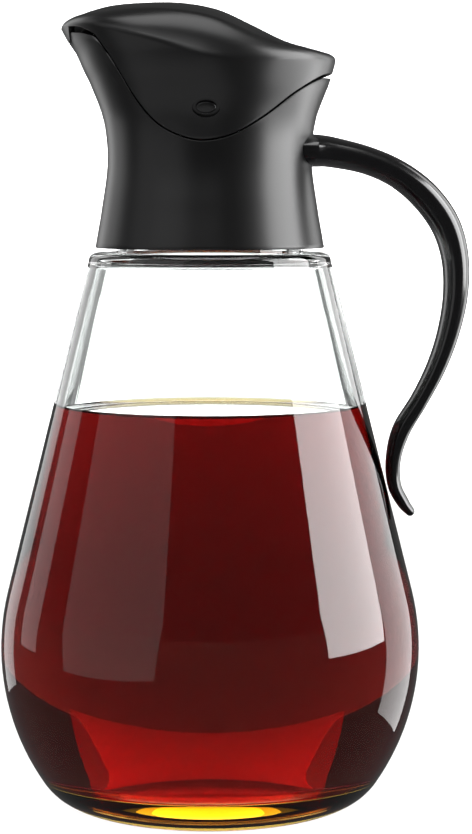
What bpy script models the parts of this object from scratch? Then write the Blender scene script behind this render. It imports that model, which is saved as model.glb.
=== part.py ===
"""Syrup dispenser: pear-shaped glass jar, syrup, black collar with a spout, flip lid and hooked handle.

The jar's axis is Z and its flat base stands on z = 0. The spout points to -X and the handle to +X.
Lists of sizes are in millimetres, and MM turns them into Blender's metres.
"""
import math

import bmesh
import bpy
from mathutils import Matrix, Vector

MM = 0.001
FIT_GAP = 0.3 * MM

# Jar: a straight cone that runs into a belly arc, a heel arc and a flat base
JAR_SEGMENTS = 48
CONE_SLOPE = 0.2495
CONE_HEIGHT = 140.0 * MM
CONE_RADIUS = 30.2 * MM
BELLY_ARC = 59.8 * MM
HEEL_ARC = 14.6 * MM
HEEL_START = math.radians(34.2)
BELLY_STEPS = 9
HEEL_STEPS = 6
SHOULDER_TOP = 140.5 * MM
SHOULDER_ROUNDING = 2.0 * MM
CORNER_STEPS = 3
WALL = 2.4 * MM
FLOOR_HEIGHT = 9.6 * MM
INNER_HEEL_ARC = 6.0 * MM
NECK_OUTER = 23.5 * MM
NECK_INNER = 21.2 * MM
NECK_TOP = 158.2 * MM
LIP_ROUNDING = 0.8 * MM

# Syrup
SYRUP_SEGMENTS = 40
SYRUP_LEVEL = 101.7 * MM

# Collar and lid share one waisted hull: its radius by height, with a front that flares into the spout
HULL_SEGMENTS = 60
HULL_WAIST = [(141.7, 28.9), (152.5, 27.05), (163.3, 25.72), (173.5, 26.65), (182.7, 30.0)]
HULL_FRONT = [(185.7, 31.5), (188.7, 32.8), (190.2, 33.5), (193.1, 35.5), (196.4, 37.3)]
HULL_REAR = [(185.7, 30.95), (188.5, 31.6), (192.0, 31.8), (198.0, 31.8)]
FRONT_BLEND = (math.radians(70.0), math.radians(140.0))

# The S-shaped parting line between collar and lid, as heights along X, and the lid's gap above it
PARTING_LINE = [
    (-34.0, 194.8), (-31.3, 194.4), (-29.5, 193.9), (-27.4, 193.0), (-24.5, 189.2), (-22.2, 185.6),
    (-17.6, 178.0), (-12.9, 172.5), (-7.1, 169.2), (-1.3, 168.05), (5.8, 169.5), (13.4, 173.85),
    (21.2, 179.8), (27.5, 183.4), (32.0, 184.1),
]
PARTING_GAP = [
    (-34.5, 1.3), (-31.6, 1.25), (-30.0, 1.0), (-27.8, 0.6), (-26.0, 0.4), (24.0, 0.4), (28.3, 0.75),
    (31.0, 1.2),
]
SPOUT_NOTCH_X = -34.0 * MM
SPOUT_NOTCH_HEIGHT = 192.6 * MM
VISOR_GAP = 0.45 * MM

# Collar
COLLAR_BOTTOM = 141.7 * MM
COLLAR_WALL = 1.5 * MM
COLLAR_ROWS = 10
COLLAR_INNER_ROWS = 6
COLLAR_INNER_BOTTOM = 162.3 * MM
SEAT_TOP = 160.3 * MM
SEAT_INNER = 21.6 * MM

# Lid: rim height by angle from the handle side, then the crease that the crown starts from
LID_WALL = 1.8 * MM
LID_ROOF = 1.8 * MM
LID_WALL_ROWS = 5
LID_SHOULDER_ROWS = 3
LID_CROWN_ROWS = 4
LID_CENTRE_X = -3.0 * MM
LIP_UNDERSIDE_RISE = 0.4 * MM
RIM_HEIGHT = [
    (0, 188.5), (40, 188.1), (75, 187.8), (90, 188.6), (120, 193.4), (135, 195.5), (150, 196.6),
    (165, 196.4), (180, 196.0),
]
CREASE_RADIUS = [(0, 29.9), (30, 29.7), (60, 28.2), (90, 26.8), (120, 28.8), (150, 31.8), (180, 33.1)]
CREASE_HEIGHT = [(0, 190.1), (30, 190.3), (60, 192.6), (90, 197.9), (120, 199.8), (150, 199.7), (180, 199.1)]
RIDGE = [
    (-33.1, 199.1), (-29.5, 200.6), (-23.4, 202.1), (-15.0, 202.75), (-9.0, 202.75), (-2.2, 202.0),
    (3.1, 200.6), (11.0, 196.9), (18.9, 193.2), (24.5, 191.6), (29.9, 190.1),
]

# Rear hinge, just inside the rim under the thumb lip
HINGE_X = 26.2 * MM
HINGE_HEIGHT = 183.9 * MM
KNUCKLE_RADIUS = 1.4 * MM
PIN_RADIUS = 0.6 * MM
PIN_CLEARANCE = 0.1 * MM
HINGE_SIDES = 14
LID_KNUCKLE_HALF_WIDTH = 5.0 * MM
EAR_INNER_Y = 5.4 * MM
EAR_OUTER_Y = 6.8 * MM
EAR_FOOT = (26.4 * MM, 178.8 * MM, 0.4 * MM)
WEB_FOOT = (26.4 * MM, 189.5 * MM, 0.5 * MM)

# Oval snap buttons in the lid's two side lobes
BUTTON_X = -0.6 * MM
BUTTON_HEIGHT = 175.9 * MM
BUTTON_HALF_SIZE = (2.5 * MM, 1.55 * MM)
BUTTON_RING = 0.9 * MM
POCKET_DEPTH = 1.1 * MM
BUTTON_SIDES = 20

# Handle stations: x and z of the centre line, half thickness in that plane, half width along Y
HANDLE_SIDES = 14
HANDLE_STEPS = 2
HANDLE_SQUARENESS = 2.3
ROOT_SHARES = (0.35, 0.7)
HANDLE_STATIONS = [
    (26.5, 166.1, 4.10, 11.4), (30.5, 165.7, 3.85, 9.8), (39.3, 163.7, 3.53, 8.2), (47.3, 160.2, 3.56, 7.6),
    (54.2, 154.7, 3.80, 7.3), (59.4, 147.5, 3.75, 7.1), (61.9, 139.2, 3.45, 6.8), (62.1, 130.1, 3.15, 6.4),
    (60.5, 120.9, 2.80, 5.9), (57.5, 111.9, 2.50, 5.4), (53.3, 103.5, 2.27, 4.9), (48.6, 95.5, 2.35, 4.4),
    (46.6, 88.0, 1.95, 4.0), (46.9, 81.5, 1.75, 3.7), (49.1, 77.0, 1.58, 3.4), (50.9, 74.7, 1.20, 2.7),
]

COLOURS = {
    "glass": (0.86, 0.90, 0.90), "syrup": (0.16, 0.012, 0.012), "satin_black": (0.028, 0.027, 0.030),
    "gloss_black": (0.012, 0.012, 0.015), "steel": (0.55, 0.55, 0.56),
}
ROUGHNESS = {"glass": 0.05, "syrup": 0.1, "satin_black": 0.42, "gloss_black": 0.15, "steel": 0.3}


def clear_scene():
    for obj in list(bpy.data.objects):
        bpy.data.objects.remove(obj, do_unlink=True)


def material(name):
    mat = bpy.data.materials.get(name) or bpy.data.materials.new(name)
    mat.use_nodes = True
    shader = mat.node_tree.nodes["Principled BSDF"]
    shader.inputs["Base Color"].default_value = (*COLOURS[name], 1.0)
    shader.inputs["Roughness"].default_value = ROUGHNESS[name]
    shader.inputs["Metallic"].default_value = 1.0 if name == "steel" else 0.0
    shader.inputs["Transmission Weight"].default_value = 1.0 if name == "glass" else 0.0
    return mat


def curve_value(knots, at):
    """Smooth value at one place along a list of (place, value) knots: cubic pieces, level past the ends."""
    if at <= knots[0][0]:
        return knots[0][1]
    if at >= knots[-1][0]:
        return knots[-1][1]
    slopes = []
    for i in range(len(knots)):
        before = knots[max(i - 1, 0)]
        after = knots[min(i + 1, len(knots) - 1)]
        slopes.append((after[1] - before[1]) / (after[0] - before[0]))
    i = max(k for k in range(len(knots) - 1) if knots[k][0] <= at)
    (x0, y0), (x1, y1) = knots[i], knots[i + 1]
    span = x1 - x0
    t = (at - x0) / span
    return (y0 * (1 + 2 * t) * (1 - t) ** 2 + y1 * t * t * (3 - 2 * t)
            + slopes[i] * span * t * (1 - t) ** 2 - slopes[i + 1] * span * t * t * (1 - t))


def smooth_step(low, high, value):
    t = min(max((value - low) / (high - low), 0.0), 1.0)
    return t * t * (3 - 2 * t)


def mesh_object(name, rings, material_name, closed_loop=False):
    """Skin over rings of points, each the same length or a single pole point, as one closed solid."""
    bm = bmesh.new()
    rows = [[bm.verts.new(point) for point in ring] for ring in rings]
    pairs = list(zip(rows, rows[1:]))
    if closed_loop:
        pairs.append((rows[-1], rows[0]))
    for low, high in pairs:
        count = max(len(low), len(high))
        for k in range(count):
            after = (k + 1) % count
            if len(low) == 1:
                bm.faces.new((low[0], high[after], high[k]))
            elif len(high) == 1:
                bm.faces.new((low[k], low[after], high[0]))
            else:
                bm.faces.new((low[k], low[after], high[after], high[k]))
    for row in (rows[0], rows[-1]):
        if len(row) > 1 and not closed_loop:
            bm.faces.new(row)
    bmesh.ops.recalc_face_normals(bm, faces=bm.faces)
    mesh = bpy.data.meshes.new(name)
    bm.to_mesh(mesh)
    bm.free()
    mesh.materials.append(material(material_name))
    mesh.shade_smooth()
    mesh.set_sharp_from_angle(angle=math.radians(40))
    obj = bpy.data.objects.new(name, mesh)
    bpy.context.collection.objects.link(obj)
    return obj


def turned_ring(radius, height, segments):
    return [Vector((radius * math.cos(a), radius * math.sin(a), height))
            for a in (2 * math.pi * k / segments for k in range(segments))]


def arc_points(centre, radius, start, end, steps):
    angles = [start + (end - start) * k / steps for k in range(steps + 1)]
    return [(centre[0] + radius * math.cos(a), centre[1] + radius * math.sin(a)) for a in angles]


def pear_outline(cone_radius, belly, heel, base_height):
    """(radius, height) points from the cone's foot round the belly and heel to the flat base."""
    lean = math.atan(CONE_SLOPE)
    normal = (math.cos(lean), math.sin(lean))
    heel_z = base_height + heel
    belly_z = heel_z + (belly - heel) * math.sin(HEEL_START)
    along = normal[0] * cone_radius + normal[1] * CONE_HEIGHT - belly
    belly_r = (along - normal[1] * belly_z) / normal[0]
    heel_r = belly_r + (belly - heel) * math.cos(HEEL_START)
    belly_points = arc_points((belly_r, belly_z), belly, lean, -HEEL_START, BELLY_STEPS)
    heel_points = arc_points((heel_r, heel_z), heel, -HEEL_START, -math.pi / 2, HEEL_STEPS)
    return belly_points + heel_points[1:]


def cone_radius_at(height, offset=0.0):
    return CONE_RADIUS - offset + CONE_SLOPE * (CONE_HEIGHT - height)


def glass_inner_outline():
    """Inner wall from under the shoulder down to the floor."""
    top = SHOULDER_TOP - WALL - SHOULDER_ROUNDING
    wall_top = (cone_radius_at(top, WALL), top)
    return [wall_top] + pear_outline(CONE_RADIUS - WALL, BELLY_ARC - WALL, INNER_HEEL_ARC, FLOOR_HEIGHT)


def build_jar():
    outer = pear_outline(CONE_RADIUS, BELLY_ARC, HEEL_ARC, 0.0)
    corner_z = SHOULDER_TOP - SHOULDER_ROUNDING
    corner_r = cone_radius_at(corner_z) - SHOULDER_ROUNDING
    shoulder = arc_points((corner_r, corner_z), SHOULDER_ROUNDING, math.pi / 2, 0.0, CORNER_STEPS)
    inner_z = corner_z - WALL
    inner_r = cone_radius_at(inner_z, WALL) - SHOULDER_ROUNDING
    under_shoulder = arc_points((inner_r, inner_z), SHOULDER_ROUNDING, 0.0, math.pi / 2, CORNER_STEPS)
    lip_r = NECK_OUTER - LIP_ROUNDING
    lip = arc_points((lip_r, NECK_TOP - LIP_ROUNDING), LIP_ROUNDING, 0.0, math.pi / 2, 2)
    profile = [(NECK_INNER, SHOULDER_TOP - WALL), (NECK_INNER, NECK_TOP)] + lip[::-1]
    profile += [(NECK_OUTER, SHOULDER_TOP)] + shoulder + outer
    rings = [[Vector((0, 0, FLOOR_HEIGHT))]]
    for radius, height in glass_inner_outline()[::-1]:
        rings.append(turned_ring(radius, height, JAR_SEGMENTS))
    for radius, height in under_shoulder[1:] + profile:
        rings.append(turned_ring(radius, height, JAR_SEGMENTS))
    return mesh_object("glass_jar", rings, "glass")


def build_syrup():
    rings = [[Vector((0, 0, FLOOR_HEIGHT + FIT_GAP))]]
    for radius, height in glass_inner_outline()[::-1]:
        if height < SYRUP_LEVEL:
            rings.append(turned_ring(radius - FIT_GAP, height + FIT_GAP, SYRUP_SEGMENTS))
    rings.append(turned_ring(cone_radius_at(SYRUP_LEVEL, WALL + FIT_GAP), SYRUP_LEVEL, SYRUP_SEGMENTS))
    return mesh_object("syrup", rings, "syrup")


def hull_radius(angle, height):
    """Outer radius of collar and lid at an angle from +X and a height, both in radians and metres."""
    turn = abs(math.remainder(angle, 2 * math.pi))
    front = curve_value(HULL_WAIST + HULL_FRONT, height / MM)
    rear = curve_value(HULL_WAIST + HULL_REAR, height / MM)
    weight = smooth_step(*FRONT_BLEND, turn)
    return (rear + (front - rear) * weight) * MM


def collar_edge(x):
    if x < SPOUT_NOTCH_X:
        return SPOUT_NOTCH_HEIGHT
    return curve_value(PARTING_LINE, x / MM) * MM


def lid_edge(x):
    if x < SPOUT_NOTCH_X - VISOR_GAP:
        return SPOUT_NOTCH_HEIGHT + FIT_GAP
    return (curve_value(PARTING_LINE, x / MM) + curve_value(PARTING_GAP, x / MM)) * MM


def edge_height(angle, edge):
    """Height at which the hull's meridian at this angle meets an edge line given along X."""
    low, high = 160.0 * MM, 197.0 * MM
    for _ in range(30):
        middle = (low + high) / 2
        if middle < edge(hull_radius(angle, middle) * math.cos(angle)):
            low = middle
        else:
            high = middle
    return low


def polar(radius, angle, height):
    return Vector((radius * math.cos(angle), radius * math.sin(angle), height))


def hull_angles():
    return [2 * math.pi * (k + 0.5) / HULL_SEGMENTS for k in range(HULL_SEGMENTS)]


def build_collar():
    angles = hull_angles()
    tops = [edge_height(a, collar_edge) for a in angles]
    rings = []
    for row in range(COLLAR_ROWS + 1):
        part = row / COLLAR_ROWS
        heights = [COLLAR_BOTTOM + (top - COLLAR_BOTTOM) * part for top in tops]
        rings.append([polar(hull_radius(a, z), a, z) for a, z in zip(angles, heights)])
    for row in range(COLLAR_INNER_ROWS + 1):
        part = row / COLLAR_INNER_ROWS
        heights = [top + (COLLAR_INNER_BOTTOM - top) * part for top in tops]
        rings.append([polar(hull_radius(a, z) - COLLAR_WALL, a, z) for a, z in zip(angles, heights)])
    seat_bottom = NECK_TOP + FIT_GAP
    bore = NECK_OUTER + FIT_GAP
    for radius, height in ((SEAT_INNER, SEAT_TOP), (SEAT_INNER, seat_bottom), (bore, seat_bottom),
                           (bore, COLLAR_BOTTOM)):
        rings.append([polar(radius, a, height) for a in angles])
    collar = mesh_object("collar", rings, "satin_black", closed_loop=True)
    for side in (-1, 1):
        low, high = sorted((side * EAR_INNER_Y, side * EAR_OUTER_Y))
        add_hinge_lug(collar, f"ear_{'near' if side < 0 else 'far'}", low, high, EAR_FOOT)
    add_pin_bore(collar, EAR_OUTER_Y)
    return collar


def disc_points(x, z, radius, y):
    return [Vector((x + radius * math.cos(a), y, z + radius * math.sin(a)))
            for a in (2 * math.pi * k / HINGE_SIDES for k in range(HINGE_SIDES))]


def add_boolean(target, operand, operation):
    operand.hide_render = True
    operand.display_type = "WIRE"
    modifier = target.modifiers.new(operand.name, "BOOLEAN")
    modifier.operation = operation
    modifier.solver = "EXACT"
    modifier.object = operand


def add_hinge_lug(target, name, low_y, high_y, foot):
    """Union a knuckle that narrows to its foot onto the target."""
    points = []
    for y in (low_y, high_y):
        points += disc_points(HINGE_X, HINGE_HEIGHT, KNUCKLE_RADIUS, y)
        points += disc_points(foot[0], foot[1], foot[2], y)
    bm = bmesh.new()
    for point in points:
        bm.verts.new(point)
    bmesh.ops.convex_hull(bm, input=bm.verts)
    loose = [v for v in bm.verts if not v.link_faces]
    bmesh.ops.delete(bm, geom=loose, context="VERTS")
    bmesh.ops.recalc_face_normals(bm, faces=bm.faces)
    mesh = bpy.data.meshes.new(name)
    bm.to_mesh(mesh)
    bm.free()
    lug = bpy.data.objects.new(name, mesh)
    bpy.context.collection.objects.link(lug)
    add_boolean(target, lug, "UNION")


def add_pin_bore(target, half_width):
    rings = [disc_points(HINGE_X, HINGE_HEIGHT, PIN_RADIUS + PIN_CLEARANCE, side * (half_width + FIT_GAP))
             for side in (-1, 1)]
    add_boolean(target, mesh_object(target.name + "_bore", rings, "satin_black"), "DIFFERENCE")


def knot_value(knots, angle):
    turn = math.degrees(abs(math.remainder(angle, 2 * math.pi)))
    return curve_value(knots, turn) * MM


def crown_point(angle, fraction, drop=0.0):
    """Point of the lid's crown on the way from its centre, at 0, to the crease, at 1."""
    crease_radius = knot_value(CREASE_RADIUS, angle)
    crease_x = crease_radius * math.cos(angle)
    x = LID_CENTRE_X + fraction * (crease_x - LID_CENTRE_X)
    y = fraction * crease_radius * math.sin(angle)
    sag = curve_value(RIDGE, crease_x / MM) * MM - knot_value(CREASE_HEIGHT, angle)
    height = curve_value(RIDGE, x / MM) * MM - sag * fraction ** 2
    return Vector((x, y, height - drop))


def lid_column(angle, inset, drop):
    """Points of the lid's outer or inner face at one angle, from its lower edge up to the crease."""
    lower = edge_height(angle, lid_edge)
    rim = knot_value(RIM_HEIGHT, angle)
    if inset:
        lip_share = max(math.cos(angle), 0.0) ** 8
        lower -= LIP_UNDERSIDE_RISE * lip_share
        rim = max(rim - 1.0 * MM, lower + 0.2 * MM)
    column = []
    for row in range(LID_WALL_ROWS + 1):
        z = lower + (rim - lower) * row / LID_WALL_ROWS
        column.append(polar(hull_radius(angle, z) - inset, angle, z))
    start = column[-1]
    crease_radius = knot_value(CREASE_RADIUS, angle)
    end = crown_point(angle, 1.0 - inset / crease_radius, drop)
    bend = start.lerp(end, 0.1)
    bend.z = start.z + 0.65 * (end.z - start.z)
    for row in range(1, LID_SHOULDER_ROWS + 1):
        t = row / LID_SHOULDER_ROWS
        column.append(start * (1 - t) ** 2 + bend * 2 * t * (1 - t) + end * t * t)
    return column


def build_lid():
    angles = hull_angles()
    outer = [lid_column(a, 0.0, 0.0) for a in angles]
    inner = [lid_column(a, LID_WALL, LID_ROOF) for a in angles]
    rings = []
    top = crown_point(0.0, 0.0, LID_ROOF)
    rings.append([top])
    for row in range(1, LID_CROWN_ROWS):
        share = row / LID_CROWN_ROWS
        rings.append([crown_point(a, share * (1 - LID_WALL / knot_value(CREASE_RADIUS, a)), LID_ROOF)
                      for a in angles])
    for row in reversed(range(len(inner[0]))):
        rings.append([column[row] for column in inner])
    for row in range(len(outer[0])):
        rings.append([column[row] for column in outer])
    for row in reversed(range(1, LID_CROWN_ROWS)):
        rings.append([crown_point(a, row / LID_CROWN_ROWS) for a in angles])
    rings.append([crown_point(0.0, 0.0)])
    lid = mesh_object("lid", rings, "satin_black")
    for side in (-1, 1):
        ring_size = [half + BUTTON_RING for half in BUTTON_HALF_SIZE]
        name = f"pocket_{'near' if side < 0 else 'far'}"
        pocket = oval_plug(name, side, ring_size, -POCKET_DEPTH, 3 * POCKET_DEPTH, "satin_black")
        add_boolean(lid, pocket, "DIFFERENCE")
    add_hinge_lug(lid, "lid_knuckle", -LID_KNUCKLE_HALF_WIDTH, LID_KNUCKLE_HALF_WIDTH, WEB_FOOT)
    add_pin_bore(lid, LID_KNUCKLE_HALF_WIDTH)
    return lid


def button_frame(side):
    """Frame on the lobe's surface: local Z is the surface's outward normal, local X runs along it."""
    angle = math.acos(BUTTON_X / hull_radius(math.pi / 2, BUTTON_HEIGHT)) * side
    radius = hull_radius(angle, BUTTON_HEIGHT)
    rise = (hull_radius(angle, BUTTON_HEIGHT + MM) - hull_radius(angle, BUTTON_HEIGHT - MM)) / (2 * MM)
    outward = Vector((math.cos(angle), math.sin(angle), -rise)).normalized()
    along = Vector((0, 0, 1)).cross(outward).normalized()
    upward = outward.cross(along)
    frame = Matrix((along, upward, outward)).transposed().to_4x4()
    frame.translation = polar(radius, angle, BUTTON_HEIGHT)
    return frame


def oval_plug(name, side, half_size, low, high, material_name):
    frame = button_frame(side)
    rings = []
    for level in (low, high):
        rings.append([frame @ Vector((half_size[0] * math.cos(a), half_size[1] * math.sin(a), level))
                      for a in (2 * math.pi * k / BUTTON_SIDES for k in range(BUTTON_SIDES))])
    return mesh_object(name, rings, material_name)


def build_buttons():
    for side, name in ((-1, "snap_button_near"), (1, "snap_button_far")):
        oval_plug(name, side, BUTTON_HALF_SIZE, FIT_GAP - POCKET_DEPTH, -0.1 * MM, "satin_black")


def build_hinge_pin():
    rings = [disc_points(HINGE_X, HINGE_HEIGHT, PIN_RADIUS, y) for y in (-EAR_OUTER_Y, EAR_OUTER_Y)]
    return mesh_object("hinge_pin", rings, "steel")


def handle_station(place):
    """Centre, half thickness and half width at a place counted in stations along the handle."""
    values = []
    for part in range(4):
        knots = [(k, station[part]) for k, station in enumerate(HANDLE_STATIONS)]
        values.append(curve_value(knots, place) * MM)
    return values


def superellipse(angle):
    power = 2 / HANDLE_SQUARENESS
    across, along = math.cos(angle), math.sin(angle)
    return (math.copysign(abs(across) ** power, across), math.copysign(abs(along) ** power, along))


def against_collar(point):
    """The point moved along X until it stands the fit gap off the collar."""
    touch = hull_radius(0.0, point.z) + FIT_GAP
    return Vector((math.sqrt(touch ** 2 - point.y ** 2), point.y, point.z))


def build_handle():
    spans = len(HANDLE_STATIONS) - 1
    places = [k / HANDLE_STEPS for k in range(spans * HANDLE_STEPS + 1)]
    angles = [2 * math.pi * (k + 0.5) / HANDLE_SIDES for k in range(HANDLE_SIDES)]
    rings = []
    for place in places:
        x, z, thick, wide = handle_station(place)
        before = handle_station(max(place - 0.1, 0.0))
        after = handle_station(min(place + 0.1, float(spans)))
        way = Vector((after[0] - before[0], 0, after[1] - before[1])).normalized()
        side = Vector((-way.z, 0, way.x))
        ring = []
        for angle in angles:
            across, along = superellipse(angle)
            ring.append(Vector((x, 0, z)) + side * thick * across + Vector((0, wide * along, 0)))
        if place == 0:
            centre = Vector((x, 0, z))
            rings.append([against_collar(centre)])
            for share in ROOT_SHARES:
                rings.append([against_collar(centre.lerp(point, share)) for point in ring])
            ring = [against_collar(point) for point in ring]
        rings.append(ring)
    tip_x, tip_z, thick, wide = handle_station(float(spans))
    rings.append([Vector((tip_x, 0, tip_z)) + way * thick * 0.7 + (p - Vector((tip_x, 0, tip_z))) * 0.6
                  for p in rings[-1]])
    rings.append([Vector((tip_x, 0, tip_z)) + way * thick])
    return mesh_object("handle", rings, "gloss_black")


def main():
    clear_scene()
    build_jar()
    build_syrup()
    build_collar()
    build_lid()
    build_buttons()
    build_hinge_pin()
    build_handle()


main()
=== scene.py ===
"""Syrup dispenser scene: glass jar, syrup, black collar with a spout, flip lid and hooked handle.

Laid out as an add-on and run as a script. The jar's axis is Z, the spout points to -X and the handle to +X.
The part's lists of sizes are in millimetres, and MM turns them into metres. The stage's are in metres.
"""
import math

import bmesh
import bpy
from bpy.props import FloatProperty, FloatVectorProperty, IntProperty, PointerProperty
from mathutils import Matrix, Vector


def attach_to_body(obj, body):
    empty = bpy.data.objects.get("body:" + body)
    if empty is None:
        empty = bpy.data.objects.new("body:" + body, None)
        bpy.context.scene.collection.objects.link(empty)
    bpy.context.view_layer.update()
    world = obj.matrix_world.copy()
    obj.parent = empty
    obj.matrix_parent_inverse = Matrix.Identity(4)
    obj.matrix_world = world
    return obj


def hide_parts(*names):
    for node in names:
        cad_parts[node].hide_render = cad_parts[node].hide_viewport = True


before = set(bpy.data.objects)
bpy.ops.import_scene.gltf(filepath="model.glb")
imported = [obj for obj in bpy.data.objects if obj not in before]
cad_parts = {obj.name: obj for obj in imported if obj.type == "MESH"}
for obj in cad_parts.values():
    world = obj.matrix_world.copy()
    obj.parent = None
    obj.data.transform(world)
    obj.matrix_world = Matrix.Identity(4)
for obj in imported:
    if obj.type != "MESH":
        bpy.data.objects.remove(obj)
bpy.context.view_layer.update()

bl_info = {
    "name": "Syrup Dispenser",
    "version": (1, 0, 0),
    "blender": (4, 5, 0),
    "location": "View3D > Sidebar > Dispenser",
    "description": "Builds a glass syrup dispenser with a flip lid and a hooked handle",
    "category": "Add Mesh",
}

MM = 0.001
PLASTIC_NAME = "moulded_black"
WHITE = (1.0, 1.0, 1.0)
STEEL = (0.55, 0.55, 0.56, 1.0)

# Jar: a straight cone that runs into a belly arc, a heel arc and a flat base
CONE_SLOPE = 0.2495
CONE_HEIGHT = 140.0 * MM
CONE_RADIUS = 30.2 * MM
BELLY_ARC = 59.8 * MM
HEEL_ARC = 14.6 * MM
HEEL_START = math.radians(34.2)
SHOULDER_TOP = 140.5 * MM
SHOULDER_ROUNDING = 2.0 * MM
INNER_HEEL_ARC = 6.0 * MM
NECK_OUTER = 23.5 * MM
NECK_INNER = 21.2 * MM
NECK_TOP = 158.2 * MM
LIP_ROUNDING = 0.8 * MM

# Syrup: how far it reaches into the glass, the skin that bends light at its top, and the meniscus
INTO_WALL = 0.32 * MM
SKIN_DEPTH = 0.1 * MM
MENISCUS_RUN = 3.6 * MM
MENISCUS_POWER = 2.6
MENISCUS_STEPS = 8
FLAT_SHARES = (0.8, 0.5, 0.2)

# Collar and lid share one waisted hull: its radius by height, with a front that flares into the spout
HULL_WAIST = [(141.7, 28.9), (152.5, 27.05), (163.3, 25.72), (173.5, 26.65), (182.7, 30.0)]
HULL_FRONT = [(185.7, 31.5), (188.7, 32.8), (190.2, 33.5), (193.1, 35.5), (196.4, 37.3)]
HULL_REAR = [(185.7, 30.95), (188.5, 31.6), (192.0, 31.8), (198.0, 31.8)]
FRONT_BLEND = (math.radians(70.0), math.radians(140.0))
PARTING_LINE = [
    (-34.0, 194.8), (-31.3, 194.4), (-29.5, 193.9), (-27.4, 193.0), (-24.5, 189.2), (-22.2, 185.6),
    (-17.6, 178.0), (-12.9, 172.5), (-7.1, 169.2), (-1.3, 168.05), (5.8, 169.5), (13.4, 173.85),
    (21.2, 179.8), (27.5, 183.4), (32.0, 184.1),
]
PARTING_GAP = [
    (-34.5, 1.3), (-31.6, 1.25), (-30.0, 1.0), (-27.8, 0.6), (-26.0, 0.4), (24.0, 0.4), (28.3, 0.75),
    (31.0, 1.2),
]
SPOUT_NOTCH_X = -34.0 * MM
SPOUT_NOTCH_HEIGHT = 192.6 * MM
VISOR_GAP = 0.45 * MM
VISOR_RISE = 0.3 * MM
EDGE_SEARCH = (160.0 * MM, 197.0 * MM)
SHARP_EDGE = math.radians(50.0)
OUTER_ROWS = 44
INNER_ROWS = 16
COLLAR_BOTTOM = 141.7 * MM
COLLAR_INNER_BOTTOM = 162.3 * MM
SEAT_TOP = 160.3 * MM
SEAT_BOTTOM = 158.5 * MM
SEAT_INNER = 21.6 * MM
COLLAR_BORE = 23.8 * MM

# Lid
LID_CENTRE_X = -3.0 * MM
LIP_UNDERSIDE_RISE = 0.4 * MM
INNER_RIM_DROP = 1.0 * MM
INNER_RIM_LEAST = 0.3 * MM
LID_ROWS = 24
BEND_ROWS = 10
BEND_INWARD = 0.1
BEND_UPWARD = 0.65
CROWN_ROWS = 16
RIM_HEIGHT = [
    (0, 188.5), (40, 188.1), (75, 187.8), (90, 188.6), (120, 193.4), (135, 195.5), (150, 196.6),
    (165, 196.4), (180, 196.0),
]
CREASE_RADIUS = [(0, 29.9), (30, 29.7), (60, 28.2), (90, 26.8), (120, 28.8), (150, 31.8), (180, 33.1)]
CREASE_HEIGHT = [(0, 190.1), (30, 190.3), (60, 192.6), (90, 197.9), (120, 199.8), (150, 199.7), (180, 199.1)]
RIDGE = [
    (-33.1, 199.1), (-29.5, 200.6), (-23.4, 202.1), (-15.0, 202.75), (-9.0, 202.75), (-2.2, 202.0),
    (3.1, 200.6), (11.0, 196.9), (18.9, 193.2), (24.5, 191.6), (29.9, 190.1),
]

# The lid's lower rim: where its flat begins, then each corner's face, its share of the way there, its depth
RIM_FLAT = 0.18
RIM_CORNERS = [(True, 0.3, 0.7), (True, 1.0, 1.0), (False, 1.0, 1.0), (False, 0.3, 0.7)]

# Snap buttons and their pockets in the lobes
BUTTON_HALF_SIZE = (2.5 * MM, 1.5 * MM)
BUTTON_BOTTOM = -0.8 * MM
BUTTON_TOP = -0.1 * MM
BUTTON_ROUNDING = 0.5 * MM
ROUNDING_STEPS = 4
BUTTON_DOME = [(0.12, 0.5), (0.16, 0.2)]
POCKET_HALF_SIZE = (3.4 * MM, 2.4 * MM)
BUTTON_X = -0.6 * MM
BUTTON_HEIGHT = 175.9 * MM
POCKET_DEPTH = 1.0 * MM

# Hinge lugs: axis, knuckle radius, then foot x, foot height and foot radius
HINGE_X = 26.2 * MM
HINGE_HEIGHT = 183.9 * MM
KNUCKLE_RADIUS = 1.4 * MM
LID_KNUCKLE_HALF_WIDTH = 5.0 * MM
EAR_INNER_Y = 5.4 * MM
EAR_OUTER_Y = 6.8 * MM
EAR_FOOT = (26.4 * MM, 178.8 * MM, 0.4 * MM)
WEB_FOOT = (26.4 * MM, 189.5 * MM, 0.5 * MM)

# Handle stations: x and z of the centre line, half thickness in that plane, half width along Y
HANDLE_STATIONS = [
    (26.5, 166.1, 4.10, 11.4), (30.5, 165.7, 3.85, 9.8), (39.3, 163.7, 3.53, 8.2), (47.3, 160.2, 3.56, 7.6),
    (54.2, 154.7, 3.80, 7.3), (59.4, 147.5, 3.75, 7.1), (61.9, 139.2, 3.45, 6.8), (62.1, 130.1, 3.15, 6.4),
    (60.5, 120.9, 2.80, 5.9), (57.5, 111.9, 2.50, 5.4), (53.3, 103.5, 2.27, 4.9), (48.6, 95.5, 2.35, 4.4),
    (46.6, 88.0, 1.95, 4.0), (46.9, 81.5, 1.75, 3.7), (49.1, 77.0, 1.58, 3.4), (50.9, 74.7, 1.20, 2.7),
]
HANDLE_SIDES = 64
SPAN_STEPS = 10
TIP_STEPS = 7
HANDLE_GAP = 0.05 * MM

# How strongly each surface bends light. Where glass and syrup touch, it is about the ratio of the two
GLASS_BEND = 1.5
SYRUP_BEND = 1.36
WETTED_GLASS_BEND = 1.12

# Paper in metres: half width by place along Y, narrow at the back so that clear glass shows dark edges
PAPER_DEPTH = -0.2 * MM
PAPER_FLOOR = [(-0.7, 0.6), (0.1, 0.6), (0.35, 0.33)]
PAPER_BACK = 0.9
PAPER_BACK_HALF_WIDTH = 0.2
PAPER_BEND = 0.25
PAPER_TOP = 0.85

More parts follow.
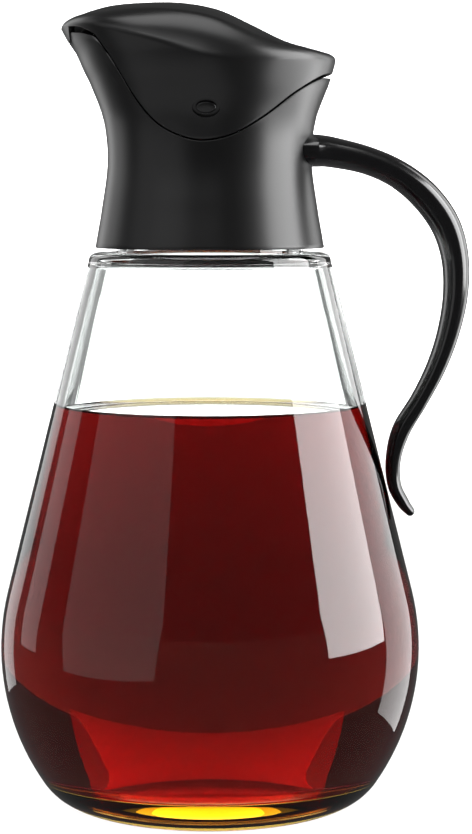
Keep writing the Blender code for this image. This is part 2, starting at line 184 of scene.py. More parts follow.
# Suns that light the paper alone: how far they lean from straight above and how soft they are
SUN_LEAN = math.radians(68.0)
SUN_SOFTNESS = math.radians(8.0)

# What the lights are aimed at
BELLY_CENTRE = (0.0, 0.0, 0.1)
COLLAR_CENTRE = (0.0, 0.0, 0.19)
GLOW_CENTRE = (0.0, 0.0, 0.192)

# Lights: name, azimuth and elevation in degrees, distance and size in metres, radiance
SOFTBOXES = [
    ("right_softbox", 86.5, 20.0, 0.95, (0.8, 0.92), 9.0),
    ("right_rear", 126.0, 8.0, 0.95, (0.6, 1.3), 2.2),
    ("left_strip", -114.0, 20.0, 0.95, (0.3, 1.05), 0.9),
    ("left_rear", -142.0, 12.0, 0.95, (0.35, 1.1), 1.2),
    ("left_panel", -56.0, 17.0, 0.95, (1.1, 1.1), 0.55),
    ("top_softbox", 0.0, 80.0, 1.1, (1.0, 0.8), 3.5),
]
BACK_GLOW = ("back_glow", 180.0, 0.0, 0.43, (0.25, 0.38), 1.7)
PLASTIC_CARDS = [
    ("front_card", -35.0, -50.0, 0.24, (0.4, 0.2), 0.5),
    ("left_card", -130.0, 10.0, 0.6, (0.35, 0.5), 0.5),
    ("high_card", -25.0, 30.0, 0.6, (0.8, 0.25), 0.9),
    ("right_card", 92.0, -22.0, 0.3, (0.35, 0.15), 4.5),
]
LID_CARDS = [("lobe_card", -12.0, 14.0, 0.6, (0.45, 0.2), 2.7)]

# Camera: what it looks at, its distance and its tilt
CAMERA_TARGET = Vector((6.61, 0.0, 98.774)) * MM
CAMERA_DISTANCE = 635.0 * MM
CAMERA_TILT = math.radians(5.188)
CAMERA_LENS = 107.9


class JarSettings(bpy.types.PropertyGroup):
    wall: FloatProperty(name="Wall", description="Thickness of the jar's wall", default=2.4 * MM,
                        unit="LENGTH", precision=4)
    floor_height: FloatProperty(name="Floor", description="Thickness of the glass under the syrup",
                                default=9.6 * MM, unit="LENGTH", precision=4)
    segments: IntProperty(name="Segments", description="Points round the jar", default=192, min=48)
    tint: FloatVectorProperty(name="Tint", description="Colour of the glass", subtype="COLOR", size=3,
                              default=(0.91, 0.935, 0.925), min=0.0, max=1.0)


class SyrupSettings(bpy.types.PropertyGroup):
    level: FloatProperty(name="Level", description="Height of the syrup's surface", default=101.2 * MM,
                         unit="LENGTH", precision=4)
    tint: FloatVectorProperty(name="Tint", description="Colour that the syrup lets through", subtype="COLOR",
                              size=3, default=(0.957, 0.779, 0.0), min=0.0, max=1.0)
    strength: FloatProperty(name="Strength", description="How fast the syrup darkens with depth",
                            default=700.0, min=0.0)
    meniscus: FloatProperty(name="Meniscus", description="How far the surface climbs the glass",
                            default=1.1 * MM, unit="LENGTH", precision=4)


class PlasticSettings(bpy.types.PropertyGroup):
    satin: FloatVectorProperty(name="Satin black", description="Colour of collar and lid", subtype="COLOR",
                               size=3, default=(0.003, 0.0028, 0.0035), min=0.0, max=1.0)
    gloss: FloatVectorProperty(name="Gloss black", description="Colour of the handle", subtype="COLOR",
                               size=3, default=(0.003, 0.003, 0.004), min=0.0, max=1.0)
    wall: FloatProperty(name="Shell wall", description="Thickness of collar and lid", default=1.6 * MM,
                        unit="LENGTH", precision=4)
    edge: FloatProperty(name="Edge rounding", description="Rounding along the parting line",
                        default=0.25 * MM, unit="LENGTH", precision=5)
    columns: IntProperty(name="Columns", description="Points round collar and lid", default=240, min=60)


class StageSettings(bpy.types.PropertyGroup):
    floor: FloatProperty(name="Floor", description="Paleness of the floor", default=0.9, min=0.0, max=1.0)
    around: FloatProperty(name="Around", description="Brightness seen through the glass past the paper",
                          default=0.2, min=0.0)
    ambient: FloatProperty(name="Ambient", description="Brightness of the dim surroundings", default=0.1,
                           min=0.0)
    key: FloatProperty(name="Key", description="Strength of the light on the paper", default=0.5, min=0.0)
    fill: FloatProperty(name="Fill", description="Strength of the shadowless light on the paper", default=9.1,
                        min=0.0)
    light: FloatProperty(name="Light", description="Strength of the softboxes", default=1.0, min=0.0)


def settings(name):
    """The values that the sidebar shows under this name."""
    return getattr(bpy.context.scene, name)


def principled(name, **values):
    """A new Principled material with the given socket values, and its node tree and shader."""
    mat = bpy.data.materials.new(name)
    mat.use_nodes = True
    shader = mat.node_tree.nodes["Principled BSDF"]
    for socket, value in values.items():
        shader.inputs[socket.replace("_", " ")].default_value = value
    return mat, mat.node_tree, shader


def noise_bump(tree, shader, scale, strength, distance):
    """Fine unevenness of the given scale on the shader's surface."""
    coords = tree.nodes.new("ShaderNodeTexCoord")
    noise = tree.nodes.new("ShaderNodeTexNoise")
    noise.inputs["Scale"].default_value = scale
    noise.inputs["Detail"].default_value = 3.0
    bump = tree.nodes.new("ShaderNodeBump")
    bump.inputs["Strength"].default_value = strength
    bump.inputs["Distance"].default_value = distance
    tree.links.new(coords.outputs["Object"], noise.inputs["Vector"])
    tree.links.new(noise.outputs["Fac"], bump.inputs["Height"])
    tree.links.new(bump.outputs["Normal"], shader.inputs["Normal"])


def curve_value(knots, at):
    """Smooth value at one place along a list of (place, value) knots: cubic pieces, level past the ends."""
    if at <= knots[0][0]:
        return knots[0][1]
    if at >= knots[-1][0]:
        return knots[-1][1]
    i = max(k for k in range(len(knots) - 1) if knots[k][0] <= at)
    slopes = []
    for k in (i, i + 1):
        before = knots[max(k - 1, 0)]
        after = knots[min(k + 1, len(knots) - 1)]
        slopes.append((after[1] - before[1]) / (after[0] - before[0]))
    (x0, y0), (x1, y1) = knots[i], knots[i + 1]
    span = x1 - x0
    t = (at - x0) / span
    return (y0 * (1 + 2 * t) * (1 - t) ** 2 + y1 * t * t * (3 - 2 * t)
            + slopes[0] * span * t * (1 - t) ** 2 - slopes[1] * span * t * t * (1 - t))


def smooth_step(low, high, value):
    """Smooth change from 0 at low to 1 at high."""
    t = min(max((value - low) / (high - low), 0.0), 1.0)
    return t * t * (3 - 2 * t)


def skin(name, rings, mat, closed_loop=False):
    """Skin over rings of points, each the same length or a single pole point, as one closed solid."""
    bm = bmesh.new()
    rows = [[bm.verts.new(point) for point in ring] for ring in rings]
    pairs = list(zip(rows, rows[1:]))
    if closed_loop:
        pairs.append((rows[-1], rows[0]))
    for low, high in pairs:
        count = max(len(low), len(high))
        for k in range(count):
            after = (k + 1) % count
            if len(low) == 1:
                bm.faces.new((low[0], high[after], high[k]))
            elif len(high) == 1:
                bm.faces.new((low[k], low[after], high[0]))
            else:
                bm.faces.new((low[k], low[after], high[after], high[k]))
    for row in (rows[0], rows[-1]):
        if len(row) > 1 and not closed_loop:
            bm.faces.new(row)
    bmesh.ops.recalc_face_normals(bm, faces=bm.faces)
    mesh = bpy.data.meshes.new(name)
    bm.to_mesh(mesh)
    bm.free()
    mesh.materials.append(mat)
    mesh.shade_smooth()
    mesh.set_sharp_from_angle(angle=SHARP_EDGE)
    obj = bpy.data.objects.new(name, mesh)
    bpy.context.scene.collection.objects.link(obj)
    return obj


def turned(name, outline, mat, segments):
    """Solid turned about Z from (radius, height) points; a radius of 0 makes a pole."""
    rings = []
    for radius, height in outline:
        if radius == 0:
            rings.append([Vector((0, 0, height))])
        else:
            rings.append([polar(radius, a, height) for a in ring_angles(segments, 0.0)])
    return skin(name, rings, mat)


def arc_points(centre, radius, start, end, steps):
    """Points along an arc from the start angle to the end angle."""
    angles = [start + (end - start) * k / steps for k in range(steps + 1)]
    return [(centre[0] + radius * math.cos(a), centre[1] + radius * math.sin(a)) for a in angles]


def pear_outline(cone_radius, belly, heel, base_height, steps=20):
    """(radius, height) points from the cone's foot round the belly and heel to the flat base."""
    lean = math.atan(CONE_SLOPE)
    normal = (math.cos(lean), math.sin(lean))
    heel_z = base_height + heel
    belly_z = heel_z + (belly - heel) * math.sin(HEEL_START)
    along = normal[0] * cone_radius + normal[1] * CONE_HEIGHT - belly
    belly_r = (along - normal[1] * belly_z) / normal[0]
    heel_r = belly_r + (belly - heel) * math.cos(HEEL_START)
    belly_points = arc_points((belly_r, belly_z), belly, lean, -HEEL_START, steps)
    heel_points = arc_points((heel_r, heel_z), heel, -HEEL_START, -math.pi / 2, steps)
    return belly_points + heel_points[1:]


def cone_radius_at(height, offset=0.0):
    """Radius of the jar's cone at a height, less an offset."""
    return CONE_RADIUS - offset + CONE_SLOPE * (CONE_HEIGHT - height)


def hull_radius(angle, height):
    """Outer radius of collar and lid at an angle from +X and a height."""
    turn = abs(math.remainder(angle, 2 * math.pi))
    front = curve_value(HULL_WAIST + HULL_FRONT, height / MM)
    rear = curve_value(HULL_WAIST + HULL_REAR, height / MM)
    weight = smooth_step(*FRONT_BLEND, turn)
    return (rear + (front - rear) * weight) * MM


def collar_edge(x):
    """Height of the collar's upper edge along X."""
    if x < SPOUT_NOTCH_X:
        return SPOUT_NOTCH_HEIGHT
    return curve_value(PARTING_LINE, x / MM) * MM


def lid_edge(x):
    """Height of the lid's lower edge along X."""
    if x < SPOUT_NOTCH_X - VISOR_GAP:
        return SPOUT_NOTCH_HEIGHT + VISOR_RISE
    return (curve_value(PARTING_LINE, x / MM) + curve_value(PARTING_GAP, x / MM)) * MM


def edge_height(angle, edge):
    """Height at which the hull's meridian at this angle meets an edge line given along X."""
    low, high = EDGE_SEARCH
    for _ in range(30):
        middle = (low + high) / 2
        if middle < edge(hull_radius(angle, middle) * math.cos(angle)):
            low = middle
        else:
            high = middle
    return low


def polar(radius, angle, height):
    return Vector((radius * math.cos(angle), radius * math.sin(angle), height))


def ring_angles(count, shift=0.5):
    """Even angles round a circle, the first one the given share of a step from +X."""
    return [2 * math.pi * (k + shift) / count for k in range(count)]


def satin_black():
    """Make the plastic of collar, lid and buttons."""
    values = settings("dispenser_plastic")
    _, tree, shader = principled(PLASTIC_NAME, Base_Color=(*values.satin, 1.0), Roughness=0.32,
                                 Specular_IOR_Level=0.42)
    noise_bump(tree, shader, 1400.0, 0.05, 0.00005)


def gloss_black():
    """Make the plastic of the handle."""
    values = settings("dispenser_plastic")
    mat, tree, shader = principled("gloss_black", Base_Color=(*values.gloss, 1.0), Roughness=0.2,
                                   Coat_Weight=0.3, Coat_Roughness=0.08)
    noise_bump(tree, shader, 60.0, 0.02, 0.0006)
    return mat


def clear_material(name, tint, bend):
    """See-through material whose surface bends light as the given index of refraction does."""
    return principled(name, Base_Color=(*tint, 1.0), Roughness=0.0, IOR=bend, Transmission_Weight=1.0)


def attach(obj, body, slot, *nodes):
    """Put a piece on its body in place of the nodes that it dresses."""
    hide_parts(*nodes)
    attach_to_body(obj, body)


class DISPENSER_OT_jar(bpy.types.Operator):
    """Turn the clear glass jar"""
    bl_idname = "dispenser.jar"
    bl_label = "Glass Jar"

    def execute(self, context):
        values = settings("dispenser_jar")
        wall = values.wall
        mat, tree, shader = clear_material("clear_glass", values.tint, GLASS_BEND)
        noise_bump(tree, shader, 38.0, 0.02, 0.0005)
        corner_z = SHOULDER_TOP - SHOULDER_ROUNDING
        corner_r = cone_radius_at(corner_z) - SHOULDER_ROUNDING
        shoulder = arc_points((corner_r, corner_z), SHOULDER_ROUNDING, math.pi / 2, 0.0, 8)
        inner_z = corner_z - wall
        inner_r = cone_radius_at(inner_z, wall) - SHOULDER_ROUNDING
        under = arc_points((inner_r, inner_z), SHOULDER_ROUNDING, 0.0, math.pi / 2, 8)
        lip_centre = (NECK_OUTER - LIP_ROUNDING, NECK_TOP - LIP_ROUNDING)
        lip = arc_points(lip_centre, LIP_ROUNDING, math.pi / 2, 0.0, 5)
        inner = pear_outline(CONE_RADIUS - wall, BELLY_ARC - wall, INNER_HEEL_ARC, values.floor_height)
        syrup = settings("dispenser_syrup")
        waterline = syrup.level + syrup.meniscus
        outline = [(0, values.floor_height)] + inner[::-1]
        outline += [(cone_radius_at(waterline, wall), waterline)] + under
        outline += [(NECK_INNER, SHOULDER_TOP - wall), (NECK_INNER, NECK_TOP)] + lip
        outline += [(NECK_OUTER, SHOULDER_TOP)] + shoulder
        outline += pear_outline(CONE_RADIUS, BELLY_ARC, HEEL_ARC, 0.0)
        jar = turned("jar_glass", outline, mat, values.segments)
        jar.data.materials.append(clear_material("wetted_glass", WHITE, WETTED_GLASS_BEND)[0])
        for face in jar.data.polygons:
            inward = face.normal.x * face.center.x + face.normal.y * face.center.y < 0
            on_floor = face.normal.z > 0.5
            if 0.5 * values.floor_height < face.center.z < waterline and (inward or on_floor):
                face.material_index = 1
        attach(jar, "jar", "glass", "glass_jar")
        return {"FINISHED"}


def syrup_surface(level, meniscus, wall, lift):
    """(radius, height) points of the syrup's top from the glass to the axis."""
    top = level + meniscus
    edge = cone_radius_at(top, wall)
    points = [(edge, top + lift)]
    for step in range(1, MENISCUS_STEPS + 1):
        t = step / MENISCUS_STEPS
        points.append((edge - MENISCUS_RUN * t, level + meniscus * (1 - t) ** MENISCUS_POWER + lift))
    return points + [(edge * share, level + lift) for share in FLAT_SHARES] + [(0, level + lift)]


class DISPENSER_OT_syrup(bpy.types.Operator):
    """Fill the jar with syrup that reaches just into the glass"""
    bl_idname = "dispenser.syrup"
    bl_label = "Syrup"

    def execute(self, context):
        jar = settings("dispenser_jar")
        values = settings("dispenser_syrup")
        wall = jar.wall - INTO_WALL
        floor = jar.floor_height - INTO_WALL
        mat, tree, _ = clear_material("syrup", WHITE, 1.0)
        depth = tree.nodes.new("ShaderNodeVolumeAbsorption")
        depth.inputs["Color"].default_value = (*values.tint, 1.0)
        depth.inputs["Density"].default_value = values.strength
        tree.links.new(depth.outputs["Volume"], tree.nodes["Material Output"].inputs["Volume"])
        full = pear_outline(CONE_RADIUS - wall, BELLY_ARC - wall, INNER_HEEL_ARC + INTO_WALL, floor)
        outline = [(0, floor)]
        outline += [point for point in full[::-1] if point[1] < values.level - 2 * MM]
        outline += [(cone_radius_at(values.level - MM, wall), values.level - MM)]
        outline += syrup_surface(values.level, values.meniscus, wall, 0.0)
        syrup = turned("syrup_fill", outline, mat, jar.segments)
        attach(syrup, "jar", "syrup", "syrup")
        wet = clear_material("syrup_skin", WHITE, SYRUP_BEND)[0]
        top = syrup_surface(values.level, values.meniscus, wall, SKIN_DEPTH / 2)
        under = syrup_surface(values.level, values.meniscus, wall, -SKIN_DEPTH / 2)
        surface = turned("syrup_skin", under[::-1] + top, wet, jar.segments)
        surface.data.materials.append(clear_material("syrup_skin_under", WHITE, 1.0)[0])
        for face in surface.data.polygons:
            if face.normal.z < 0:
                face.material_index = 1
        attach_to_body(surface, "jar")
        return {"FINISHED"}


def rim_turn(radius, height, wall, edge, steps=4):
    """(radius, height) points over a wall's rounded rim, from the outside to the inside."""
    outside = arc_points((radius - edge, height - edge), edge, 0.0, math.pi / 2, steps)
    inside = arc_points((radius - wall + edge, height - edge), edge, math.pi / 2, math.pi, steps)
    return outside + inside


class DISPENSER_OT_collar(bpy.types.Operator):
    """Build the waisted collar with its flared spout and hinge ears"""
    bl_idname = "dispenser.collar"
    bl_label = "Collar"

    def execute(self, context):
        values = settings("dispenser_plastic")
        angles = ring_angles(values.columns)
        edge = values.edge
        columns = []
        for angle in angles:
            top = edge_height(angle, collar_edge)
            column = [(hull_radius(angle, COLLAR_BOTTOM) - edge, COLLAR_BOTTOM)]
            for row in range(OUTER_ROWS + 1):
                z = COLLAR_BOTTOM + edge + (top - 2 * edge - COLLAR_BOTTOM) * row / OUTER_ROWS
                column.append((hull_radius(angle, z), z))
            column += rim_turn(hull_radius(angle, top), top, values.wall, edge)[1:]
            for row in range(1, INNER_ROWS + 1):
                z = top - edge + (COLLAR_INNER_BOTTOM - top + edge) * row / INNER_ROWS
                column.append((hull_radius(angle, z) - values.wall, z))
            column += [(SEAT_INNER, SEAT_TOP), (SEAT_INNER, SEAT_BOTTOM), (COLLAR_BORE, SEAT_BOTTOM),
                       (COLLAR_BORE, COLLAR_BOTTOM)]
            columns.append([polar(radius, angle, z) for radius, z in column])
        mat = bpy.data.materials[PLASTIC_NAME]
        collar = skin("collar_shell", list(zip(*columns)), mat, closed_loop=True)
        for side in (-1, 1):
            low, high = sorted((side * EAR_INNER_Y, side * EAR_OUTER_Y))
            add_lug(collar, low, high, EAR_FOOT)
        attach(collar, "jar", "satin_black", "collar")
        return {"FINISHED"}


def disc_points(x, z, radius, y, sides=32):
    """Points round a disc that faces along Y."""
    return [Vector((x + radius * math.cos(a), y, z + radius * math.sin(a))) for a in ring_angles(sides, 0.0)]


def add_lug(target, low_y, high_y, foot):
    """Join a knuckle that narrows to its foot to the target's mesh."""
    bm = bmesh.new()
    for y in (low_y, high_y):
        for point in disc_points(HINGE_X, HINGE_HEIGHT, KNUCKLE_RADIUS, y) + disc_points(*foot, y):
            bm.verts.new(point)
    bmesh.ops.convex_hull(bm, input=bm.verts)
    bmesh.ops.delete(bm, geom=[v for v in bm.verts if not v.link_faces], context="VERTS")
    bmesh.ops.recalc_face_normals(bm, faces=bm.faces)
    lug = bpy.data.meshes.new("lug")
    bm.to_mesh(lug)
    bm.free()
    both = bmesh.new()
    both.from_mesh(target.data)
    both.from_mesh(lug)
    both.to_mesh(target.data)
    both.free()
    bpy.data.meshes.remove(lug)


def knot_value(knots, angle):
    """Length at an angle from +X, from knots of degrees and millimetres."""
    turn = math.degrees(abs(math.remainder(angle, 2 * math.pi)))
    return curve_value(knots, turn) * MM


def crown_point(angle, fraction, drop=0.0):
    """Point of the lid's crown on the way from its centre, at 0, to the crease, at 1."""
    crease_radius = knot_value(CREASE_RADIUS, angle)
    crease_x = crease_radius * math.cos(angle)
    x = LID_CENTRE_X + fraction * (crease_x - LID_CENTRE_X)
    y = fraction * crease_radius * math.sin(angle)
    sag = curve_value(RIDGE, crease_x / MM) * MM - knot_value(CREASE_HEIGHT, angle)
    height = curve_value(RIDGE, x / MM) * MM - sag * fraction ** 2
    return Vector((x, y, height - drop))


def lid_column(angle, inset, edge):
    """Points of the lid's outer or inner face at one angle, from its lower edge up to the crease."""
    lower = edge_height(angle, lid_edge)
    rim = knot_value(RIM_HEIGHT, angle)
    if inset:
        lower -= LIP_UNDERSIDE_RISE * max(math.cos(angle), 0.0) ** 8
        rim = max(rim - INNER_RIM_DROP, lower + INNER_RIM_LEAST)
    column = []
    for row in range(LID_ROWS + 1):
        z = lower + edge + (rim - lower - edge) * row / LID_ROWS
        column.append(polar(hull_radius(angle, z) - inset, angle, z))
    start = column[-1]
    end = crown_point(angle, 1.0 - inset / knot_value(CREASE_RADIUS, angle), inset)
    bend = start.lerp(end, BEND_INWARD)
    bend.z = start.z + BEND_UPWARD * (end.z - start.z)
    for row in range(1, BEND_ROWS + 1):
        t = row / BEND_ROWS
        column.append(start * (1 - t) ** 2 + bend * 2 * t * (1 - t) + end * t * t)
    return column


class DISPENSER_OT_lid(bpy.types.Operator):
    """Build the flip lid with its side lobes, front visor and rear thumb lip"""
    bl_idname = "dispenser.lid"
    bl_label = "Lid"

    def execute(self, context):
        values = settings("dispenser_plastic")
        angles = ring_angles(values.columns)
        edge = values.edge
        outer = [lid_column(a, 0.0, edge) for a in angles]
        inner = [lid_column(a, values.wall, edge) for a in angles]
        rings = [[crown_point(0.0, 0.0, values.wall)]]
        for row in range(1, CROWN_ROWS):
            share = row / CROWN_ROWS
            insets = [values.wall / knot_value(CREASE_RADIUS, a) for a in angles]
            rings.append([crown_point(angle, share * (1 - inset), values.wall)
                          for angle, inset in zip(angles, insets)])
        for row in reversed(range(len(inner[0]))):
            rings.append([column[row] for column in inner])
        for toward_inside, lean, sink in RIM_CORNERS:
            ring = []
            for inside, outside in zip((c[0] for c in inner), (c[0] for c in outer)):
                flat = inside.lerp(outside, RIM_FLAT if toward_inside else 1 - RIM_FLAT)
                corner = (inside if toward_inside else outside).lerp(flat, lean)
                corner.z -= edge * sink
                ring.append(corner)
            rings.append(ring)
        for row in range(len(outer[0])):
            rings.append([column[row] for column in outer])
        for row in reversed(range(1, CROWN_ROWS)):
            rings.append([crown_point(a, row / CROWN_ROWS) for a in angles])
        rings.append([crown_point(0.0, 0.0)])
        lid = skin("lid_shell", rings, bpy.data.materials[PLASTIC_NAME])
        for side in (-1, 1):
            pocket = oval_plug("pocket", side, POCKET_HALF_SIZE, -POCKET_DEPTH, 3 * POCKET_DEPTH, 48)
            cut = lid.modifiers.new("pocket", "BOOLEAN")
            cut.operation = "DIFFERENCE"
            cut.solver = "EXACT"
            cut.object = pocket
            dress = bpy.context.evaluated_depsgraph_get()
            cut_mesh = bpy.data.meshes.new_from_object(lid.evaluated_get(dress))
            lid.modifiers.clear()
            lid.data = cut_mesh
            bpy.data.objects.remove(pocket, do_unlink=True)
        lid.data.set_sharp_from_angle(angle=SHARP_EDGE)
        add_lug(lid, -LID_KNUCKLE_HALF_WIDTH, LID_KNUCKLE_HALF_WIDTH, WEB_FOOT)
        attach(lid, "lid", "satin_black", "lid")
        return {"FINISHED"}


def button_frame(side):
    """Frame on the lobe's surface: local Z is the surface's outward normal, local X runs along it."""
    angle = math.acos(BUTTON_X / hull_radius(math.pi / 2, BUTTON_HEIGHT)) * side
    radius = hull_radius(angle, BUTTON_HEIGHT)
    rise = (hull_radius(angle, BUTTON_HEIGHT + MM) - hull_radius(angle, BUTTON_HEIGHT - MM)) / (2 * MM)
    outward = Vector((math.cos(angle), math.sin(angle), -rise)).normalized()
    along = Vector((0, 0, 1)).cross(outward).normalized()
    upward = outward.cross(along)
    frame_matrix = Matrix((along, upward, outward)).transposed().to_4x4()
    frame_matrix.translation = polar(radius, angle, BUTTON_HEIGHT)
    return frame_matrix


def oval_plug(name, side, half_size, low, high, sides, rounding=0.0):
    """Oval plug across the lobe's surface, from depth low to high, with a domed top if rounding is given."""
    place = button_frame(side)
    levels = [(low, 1.0)]
    if rounding:
        for step in range(ROUNDING_STEPS + 1):
            turn = math.pi / 2 * step / ROUNDING_STEPS
            levels.append((high - rounding + rounding * math.sin(turn),
                           1 - rounding / half_size[1] * (1 - math.cos(turn))))
        levels += [(high + rounding * rise, share) for rise, share in BUTTON_DOME]
    else:
        levels.append((high, 1.0))
    rings = []
    for level, share in levels:
        half_x, half_y = half_size[0] * share, half_size[1] * share
        rings.append([place @ Vector((half_x * math.cos(a), half_y * math.sin(a), level))
                      for a in ring_angles(sides, 0.0)])
    return skin(name, rings, bpy.data.materials[PLASTIC_NAME])


class DISPENSER_OT_buttons(bpy.types.Operator):
    """Set the oval snap buttons into the lid's lobes"""
    bl_idname = "dispenser.buttons"
    bl_label = "Snap Buttons"

    def execute(self, context):
        for side, name in ((-1, "near"), (1, "far")):
            button = oval_plug("button_" + name, side, BUTTON_HALF_SIZE, BUTTON_BOTTOM, BUTTON_TOP, 64,
                               BUTTON_ROUNDING)
            attach(button, "lid", "satin_black", "snap_button_" + name)
        return {"FINISHED"}


def handle_station(place):
    """Centre, half thickness and half width at a place counted in stations along the handle."""
    values = []
    for part in range(4):
        knots = [(k, station[part]) for k, station in enumerate(HANDLE_STATIONS)]
        values.append(curve_value(knots, place) * MM)
    return values


def superellipse(angle, squareness=2.3):
    """Point of a slightly squared unit circle."""
    power = 2 / squareness
    across, along = math.cos(angle), math.sin(angle)
    return (math.copysign(abs(across) ** power, across), math.copysign(abs(along) ** power, along))


def against_collar(point):
    """The point moved along X until it stands just off the collar."""
    touch = hull_radius(0.0, point.z) + HANDLE_GAP
    return Vector((math.sqrt(touch ** 2 - point.y ** 2), point.y, point.z))


class DISPENSER_OT_handle(bpy.types.Operator):
    """Sweep the hooked handle from the collar down to its curled tip"""
    bl_idname = "dispenser.handle"
    bl_label = "Handle"

    def execute(self, context):
        spans = len(HANDLE_STATIONS) - 1
        angles = ring_angles(HANDLE_SIDES)
        rings = []
        for k in range(spans * SPAN_STEPS + 1):
            place = k / SPAN_STEPS
            x, z, thick, wide = handle_station(place)
            before = handle_station(max(place - 1 / SPAN_STEPS, 0.0))
            after = handle_station(min(place + 1 / SPAN_STEPS, float(spans)))
            way = Vector((after[0] - before[0], 0, after[1] - before[1])).normalized()
            across_way = Vector((-way.z, 0, way.x))
            ring = []
            for angle in angles:
                across, along = superellipse(angle)
                ring.append(Vector((x, 0, z)) + across_way * thick * across + Vector((0, wide * along, 0)))
            if k == 0:
                centre = Vector((x, 0, z))
                rings.append([against_collar(centre)])
                for share in (0.25, 0.5, 0.75):
                    rings.append([against_collar(centre.lerp(point, share)) for point in ring])
                ring = [against_collar(point) for point in ring]
            rings.append(ring)
        tip = Vector((x, 0, z))
        for step in range(1, TIP_STEPS):
            turn = math.pi / 2 * step / TIP_STEPS
            rings.append([tip + way * thick * math.sin(turn) + (p - tip) * math.cos(turn) for p in ring])
        rings.append([tip + way * thick])
        handle = skin("handle_bar", rings, gloss_black())
        attach(handle, "jar", "gloss_black", "handle")
        return {"FINISHED"}


class DISPENSER_OT_hinge_pin(bpy.types.Operator):
    """Give the hinge pin its drawn steel finish"""
    bl_idname = "dispenser.hinge_pin"
    bl_label = "Hinge Pin"

    def execute(self, context):
        mat, tree, shader = principled("pin_steel", Base_Color=STEEL, Metallic=1.0, Roughness=0.3)
        noise_bump(tree, shader, 900.0, 0.1, 0.0001)
        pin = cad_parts["hinge_pin"]
        for slot in pin.material_slots:
            slot.material = mat
        return {"FINISHED"}


def softbox(name, azimuth, elevation, distance, size, radiance, centre=BELLY_CENTRE):
    """Rectangular light that shows only in gloss, aimed at the centre; azimuth runs from -Y towards +X."""
    light = bpy.data.lights.new(name, "AREA")
    light.shape = "RECTANGLE"
    light.size, light.size_y = size
    light.energy = radiance * math.pi * size[0] * size[1]
    obj = bpy.data.objects.new(name, light)
    bpy.context.scene.collection.objects.link(obj)
    turn, rise = math.radians(azimuth), math.radians(elevation)
    away = Vector((math.sin(turn) * math.cos(rise), -math.cos(turn) * math.cos(rise), math.sin(rise)))
    obj.location = Vector(centre) + away * distance
    obj.rotation_euler = away.to_track_quat("Z", "Y").to_euler()
    obj.visible_camera = False
    obj.visible_diffuse = False
    obj.visible_transmission = False
    return obj


def piece_group(name, pieces):
    """Collection of pieces for lights that reach only them."""
    group = bpy.data.collections.new(name)
    for piece in pieces:
        group.objects.link(bpy.data.objects[piece])
    return group


def ramp(tree, source, low, high, start, end):
    """Smooth change from start to end as the source socket goes from low to high."""
    node = tree.nodes.new("ShaderNodeMapRange")
    node.interpolation_type = "SMOOTHSTEP"
    for socket, value in (("From Min", low), ("From Max", high), ("To Min", start), ("To Max", end)):
        node.inputs[socket].default_value = value
    tree.links.new(source, node.inputs["Value"])
    return node.outputs["Result"]


def studio_world(values):
    """Dim surroundings, a little brighter through glass; the camera itself sees plain white."""
    world = bpy.data.worlds.new("studio")
    world.use_nodes = True
    tree = world.node_tree
    path = tree.nodes.new("ShaderNodeLightPath")
    plain = ramp(tree, path.outputs["Is Transmission Ray"], 0.0, 1.0, values.ambient, values.around)
    level = ramp(tree, path.outputs["Is Camera Ray"], 0.0, 1.0, 0.0, 1.0)
    total = tree.nodes.new("ShaderNodeMath")
    tree.links.new(plain, total.inputs[0])
    tree.links.new(level, total.inputs[1])
    background = tree.nodes["Background"]
    tree.links.new(total.outputs["Value"], background.inputs["Strength"])
    background.inputs["Color"].default_value = (1.0, 1.0, 1.0, 1.0)
    return world


def paper_sweep(values):
    """Pale paper that runs under the jar, narrows and curves up behind it, and hides from reflections."""
    mat = principled("stage_paper", Base_Color=(values.floor, values.floor, values.floor, 1.0), Roughness=0.7,
                     Specular_IOR_Level=0.1)[0]
    curve = arc_points((PAPER_BACK - PAPER_BEND, PAPER_BEND + PAPER_DEPTH), PAPER_BEND, -math.pi / 2, 0.0, 16)
    profile = [(y, PAPER_DEPTH, half_width) for y, half_width in PAPER_FLOOR]
    profile += [(y, z, PAPER_BACK_HALF_WIDTH) for y, z in curve + [(PAPER_BACK, PAPER_TOP)]]
    points = [(side * half_width, y, z) for y, z, half_width in profile for side in (-1, 1)]
    faces = [(2 * k, 2 * k + 1, 2 * k + 3, 2 * k + 2) for k in range(len(profile) - 1)]
    mesh = bpy.data.meshes.new("paper_sweep")
    mesh.from_pydata(points, [], faces)
    mesh.materials.append(mat)
    mesh.shade_smooth()
    sweep = bpy.data.objects.new("paper_sweep", mesh)
    bpy.context.scene.collection.objects.link(sweep)
    sweep.visible_glossy = False
    return sweep


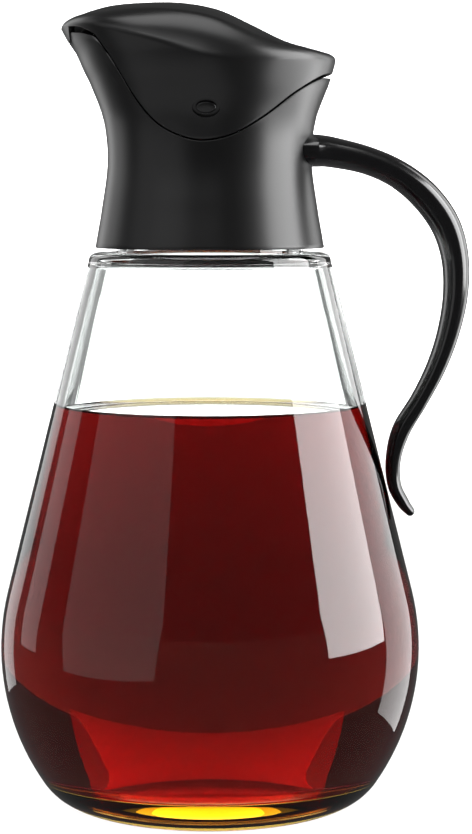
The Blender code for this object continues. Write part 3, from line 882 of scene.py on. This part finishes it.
class DISPENSER_OT_stage(bpy.types.Operator):
    """Set the pale floor, the studio lights and the camera"""
    bl_idname = "dispenser.stage"
    bl_label = "Stage"

    def execute(self, context):
        values = settings("dispenser_stage")
        scene = context.scene
        scene.view_settings.view_transform = "Standard"
        scene.cycles.max_bounces = 32
        scene.cycles.glossy_bounces = 24
        scene.cycles.transmission_bounces = 32
        scene.world = studio_world(values)
        sweep = paper_sweep(values)
        lit = piece_group("lit_by_key", [sweep.name])
        for name, energy, shadow in (("key", values.key, True), ("fill", values.fill, False)):
            sun = bpy.data.lights.new(name, "SUN")
            sun.energy = energy
            sun.angle = SUN_SOFTNESS
            sun.use_shadow = shadow
            sun_object = bpy.data.objects.new(name, sun)
            scene.collection.objects.link(sun_object)
            sun_object.rotation_euler = (SUN_LEAN, 0.0, 0.0)
            sun_object.light_linking.receiver_collection = lit
        for name, *place, radiance in SOFTBOXES:
            softbox(name, *place, radiance * values.light)
        name, *place, radiance = BACK_GLOW
        glow = softbox(name, *place, radiance * values.light, GLOW_CENTRE)
        glow.visible_transmission = True
        glow.visible_glossy = False
        moulded = piece_group("moulded_pieces", ["collar_shell", "lid_shell", "button_near", "button_far"])
        lobes = piece_group("lid_lobes", ["lid_shell"])
        for cards, group in ((PLASTIC_CARDS, moulded), (LID_CARDS, lobes)):
            for name, *place, radiance in cards:
                card = softbox(name, *place, radiance * values.light, COLLAR_CENTRE)
                card.light_linking.receiver_collection = group
        camera = bpy.data.cameras.new("camera")
        camera.lens = CAMERA_LENS
        camera.sensor_width = 36.0
        camera.clip_start = 0.01
        view = bpy.data.objects.new("camera", camera)
        scene.collection.objects.link(view)
        back = Vector((0, -math.cos(CAMERA_TILT), math.sin(CAMERA_TILT)))
        view.location = CAMERA_TARGET + back * CAMERA_DISTANCE
        view.rotation_euler = (math.pi / 2 - CAMERA_TILT, 0, 0)
        scene.camera = view
        return {"FINISHED"}


OPERATORS = (
    DISPENSER_OT_jar, DISPENSER_OT_syrup, DISPENSER_OT_collar, DISPENSER_OT_lid, DISPENSER_OT_buttons,
    DISPENSER_OT_handle, DISPENSER_OT_hinge_pin, DISPENSER_OT_stage,
)
SETTING_GROUPS = {
    "dispenser_jar": JarSettings, "dispenser_syrup": SyrupSettings, "dispenser_plastic": PlasticSettings,
    "dispenser_stage": StageSettings,
}


class VIEW3D_PT_dispenser(bpy.types.Panel):
    bl_label = "Syrup Dispenser"
    bl_idname = "VIEW3D_PT_dispenser"
    bl_space_type = "VIEW_3D"
    bl_region_type = "UI"
    bl_category = "Dispenser"

    def draw(self, context):
        layout = self.layout
        for operator in OPERATORS:
            layout.operator(operator.bl_idname)
        for name, group in SETTING_GROUPS.items():
            box = layout.box()
            for prop in group.__annotations__:
                box.prop(getattr(context.scene, name), prop)


def register():
    for group in SETTING_GROUPS.values():
        bpy.utils.register_class(group)
    for operator in OPERATORS:
        bpy.utils.register_class(operator)
    bpy.utils.register_class(VIEW3D_PT_dispenser)
    for name, group in SETTING_GROUPS.items():
        setattr(bpy.types.Scene, name, PointerProperty(type=group))


def unregister():
    for name in SETTING_GROUPS:
        delattr(bpy.types.Scene, name)
    bpy.utils.unregister_class(VIEW3D_PT_dispenser)
    for operator in reversed(OPERATORS):
        bpy.utils.unregister_class(operator)
    for group in reversed(SETTING_GROUPS.values()):
        bpy.utils.unregister_class(group)


def main():
    register()
    satin_black()
    for operator in OPERATORS:
        family, name = operator.bl_idname.split(".")
        getattr(getattr(bpy.ops, family), name)()


if __name__ == "__main__":
    main()
